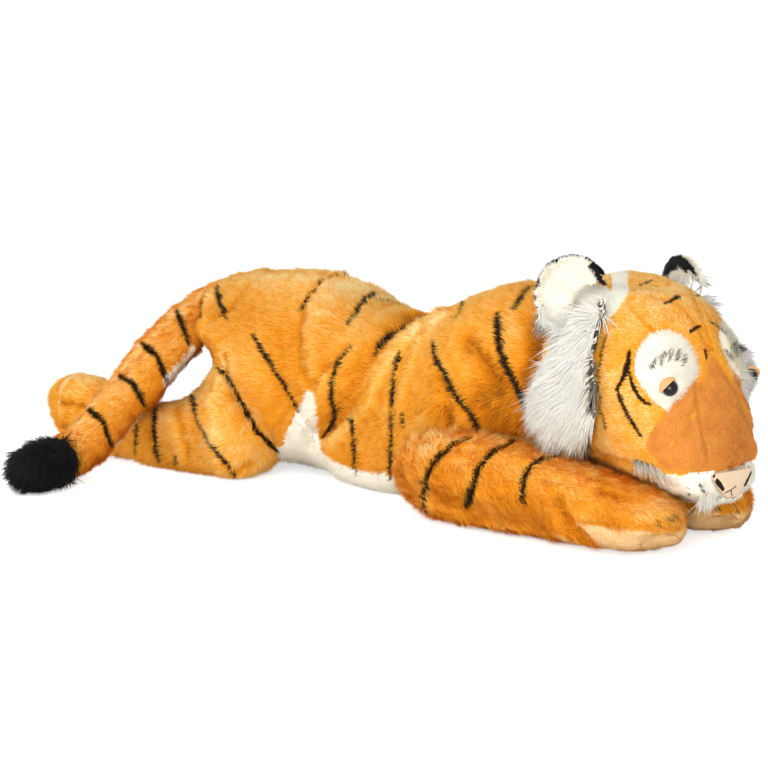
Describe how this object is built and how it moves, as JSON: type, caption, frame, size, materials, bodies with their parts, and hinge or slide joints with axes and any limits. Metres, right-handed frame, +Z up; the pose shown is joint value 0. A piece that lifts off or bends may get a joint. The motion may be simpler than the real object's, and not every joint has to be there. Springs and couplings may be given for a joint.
{
  "type": "plush tiger",
  "caption": "Reclining plush tiger on its belly with stuffed body, nodding head, folding ears, swinging legs and a liftable tail.",
  "frame": {"origin": "on the flat underside of the belly panel, below the shoulders, at floor level", "axes": "+X towards the nose, +Y to the toy's left, +Z up"},
  "size_m": [0.7137, 0.4707, 0.2192],
  "materials": {
    "orange_plush": "short pile",
    "white_plush": "long pile",
    "black_plush": "long pile",
    "brown_plush": "short pile",
    "beige_plush": "velour",
    "peach_plush": "velour",
    "eye_plastic": "glossy",
    "washer_plastic": "matte",
    "polyester_fill": "fibre fill"
  },
  "bodies": {
    "torso": {"torso_cover": "orange_plush", "belly_panel": "white_plush", "torso_stuffing": "polyester_fill"},
    "head": {"head_cover": "orange_plush", "head_stuffing": "polyester_fill", "muzzle_bridge": "brown_plush", "lip_right": "white_plush", "lip_left": "white_plush", "nose_pad": "peach_plush", "chin_panel": "white_plush", "eye_patch_right": "white_plush", "eye_patch_left": "white_plush", "eye_right": "eye_plastic", "eye_left": "eye_plastic", "eye_washer_right": "washer_plastic", "eye_washer_left": "washer_plastic", "eyelid_right": "peach_plush", "eyelid_left": "peach_plush", "cheek_ruff_right": "white_plush", "cheek_ruff_left": "white_plush"},
    "ear_right": {"ear_front_right": "white_plush", "ear_back_right": "black_plush"},
    "ear_left": {"ear_front_left": "white_plush", "ear_back_left": "black_plush"},
    "foreleg_right": {"foreleg_cover_right": "orange_plush", "foreleg_sole_right": "beige_plush", "foreleg_stuffing_right": "polyester_fill"},
    "foreleg_left": {"foreleg_cover_left": "orange_plush", "foreleg_sole_left": "beige_plush", "foreleg_stuffing_left": "polyester_fill"},
    "hindleg_right": {"hindleg_cover_right": "orange_plush", "hindleg_sole_right": "beige_plush", "hindleg_stuffing_right": "polyester_fill"},
    "hindleg_left": {"hindleg_cover_left": "orange_plush", "hindleg_sole_left": "beige_plush", "hindleg_stuffing_left": "polyester_fill"},
    "tail": {"tail_cover": "orange_plush", "tail_underside": "white_plush", "tail_stuffing": "polyester_fill", "tail_tip": "black_plush"}
  },
  "joints": [
    {"name": "head_nod", "type": "hinge", "parent": "torso", "child": "head", "pos_m": [0.086, 0, 0.116], "axis": [0, -1, 0], "range_deg": [0, 14], "stiffness_Nm_per_rad": 6},
    {"name": "ear_fold_right", "type": "hinge", "parent": "head", "child": "ear_right", "pos_m": [0.12974, -0.06207, 0.1631], "axis": [0.766, 0.6428, 0], "range_deg": [-18, 18], "stiffness_Nm_per_rad": 0.12},
    {"name": "ear_fold_left", "type": "hinge", "parent": "head", "child": "ear_left", "pos_m": [0.13875, 0.0626, 0.1561], "axis": [-0.9613, 0.2756, 0], "range_deg": [-18, 18], "stiffness_Nm_per_rad": 0.12},
    {"name": "foreleg_swing_right", "type": "hinge", "parent": "torso", "child": "foreleg_right", "pos_m": [-0.02, -0.07, 0.039], "axis": [0, 0, -1], "range_deg": [0, 16], "stiffness_Nm_per_rad": 1.5},
    {"name": "foreleg_swing_left", "type": "hinge", "parent": "torso", "child": "foreleg_left", "pos_m": [-0.037, 0.07, 0.039], "axis": [0, 0, 1], "range_deg": [0, 16], "stiffness_Nm_per_rad": 1.5},
    {"name": "hindleg_swing_right", "type": "hinge", "parent": "torso", "child": "hindleg_right", "pos_m": [-0.31, -0.062, 0.06], "axis": [0, 0, -1], "range_deg": [0, 7], "stiffness_Nm_per_rad": 2},
    {"name": "hindleg_swing_left", "type": "hinge", "parent": "torso", "child": "hindleg_left", "pos_m": [-0.31, 0.062, 0.06], "axis": [0, 0, 1], "range_deg": [0, 7], "stiffness_Nm_per_rad": 2},
    {"name": "tail_lift", "type": "hinge", "parent": "torso", "child": "tail", "pos_m": [-0.37518, -0.00786, 0.1266], "axis": [-0.9505, -0.3106, 0], "range_deg": [0, 20], "stiffness_Nm_per_rad": 1.2}
  ]
}
